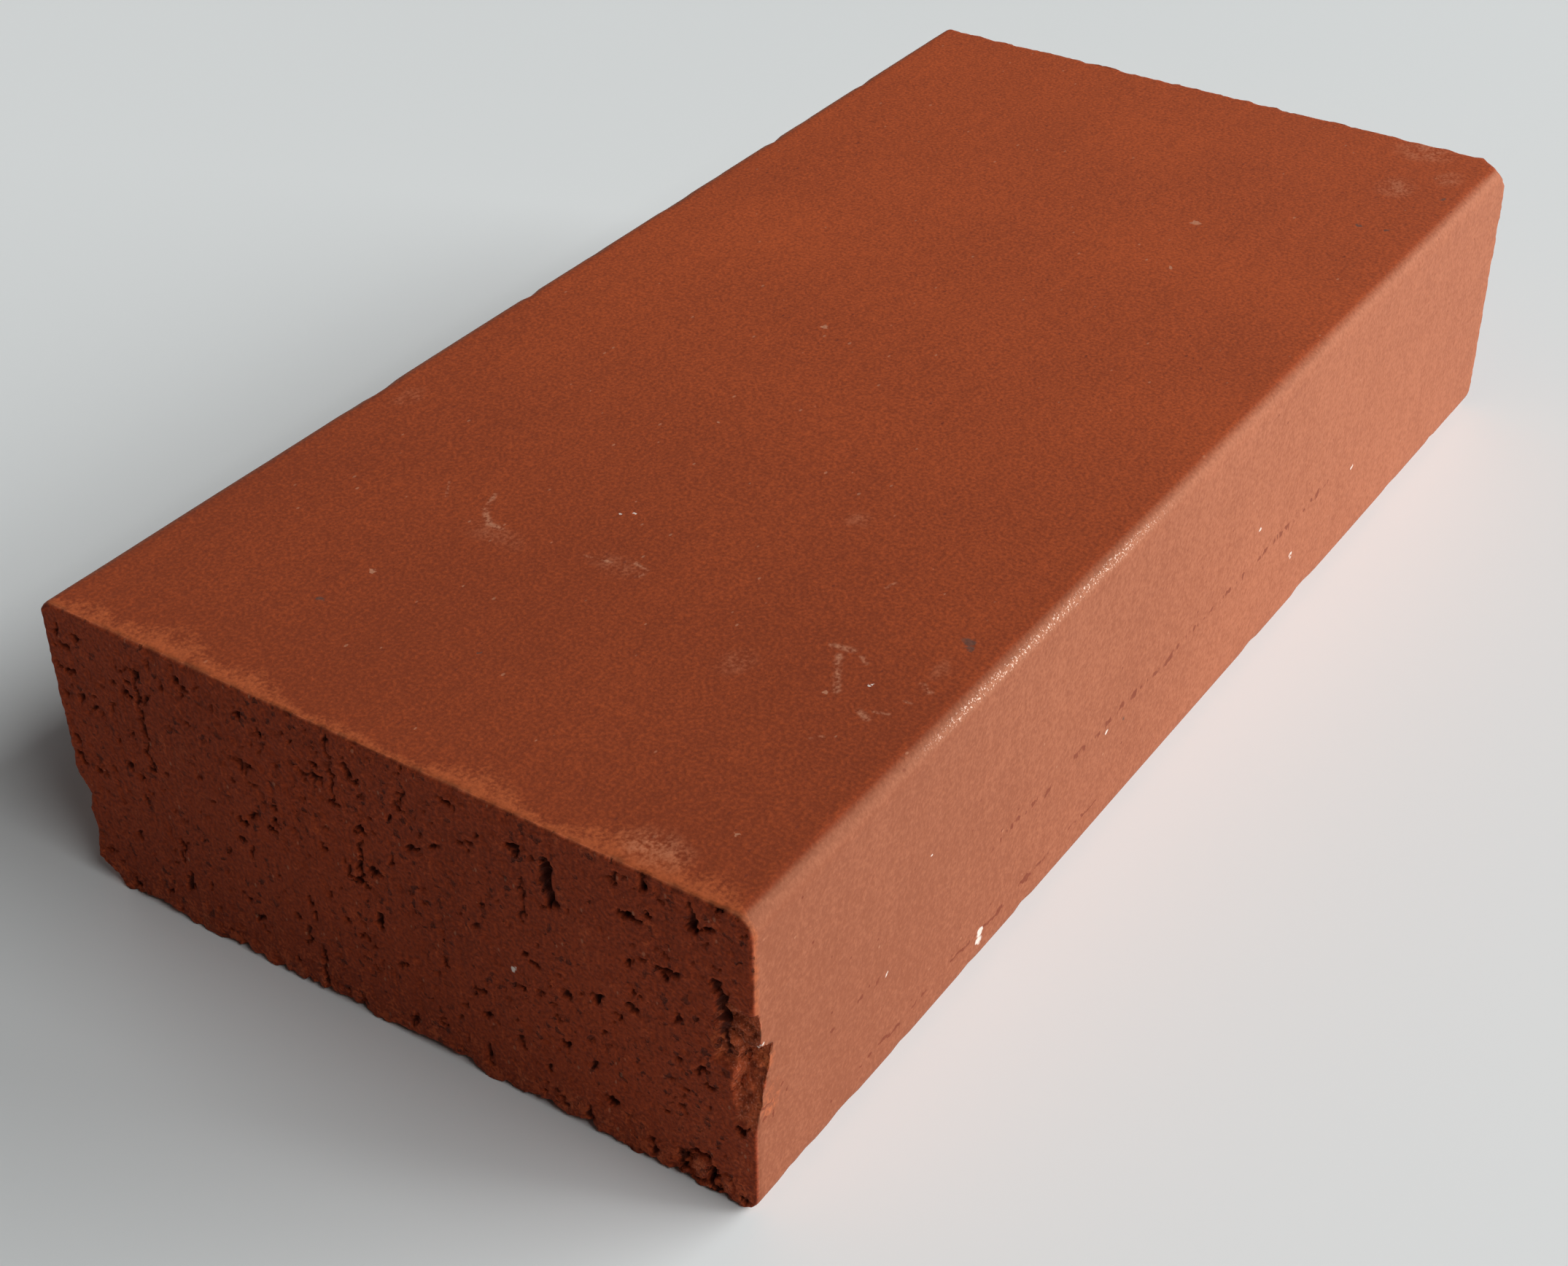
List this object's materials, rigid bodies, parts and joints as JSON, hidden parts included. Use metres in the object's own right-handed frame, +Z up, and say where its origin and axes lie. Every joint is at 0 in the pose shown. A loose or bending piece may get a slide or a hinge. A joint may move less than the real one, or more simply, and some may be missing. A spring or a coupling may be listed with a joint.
{
  "type": "clay brick",
  "caption": "Solid fired clay paving brick, extruded with rounded long arrises and rough wire-cut ends, chipped at one end, for laying flat or on edge.",
  "frame": {"origin": "middle of the bottom bed, on the surface that the brick lies on", "axes": "+X along the length, away from the chipped end; +Y across the width, towards the back; +Z up, square to the beds"},
  "size_m": [0.2, 0.0984, 0.0415],
  "materials": {
    "fired_clay": "matt fired clay: smooth orange-red die skin on the beds and long sides, rough dark pitted clay on the wire-cut ends"
  },
  "bodies": {
    "root": {"brick": "fired_clay"}
  },
  "joints": []
}
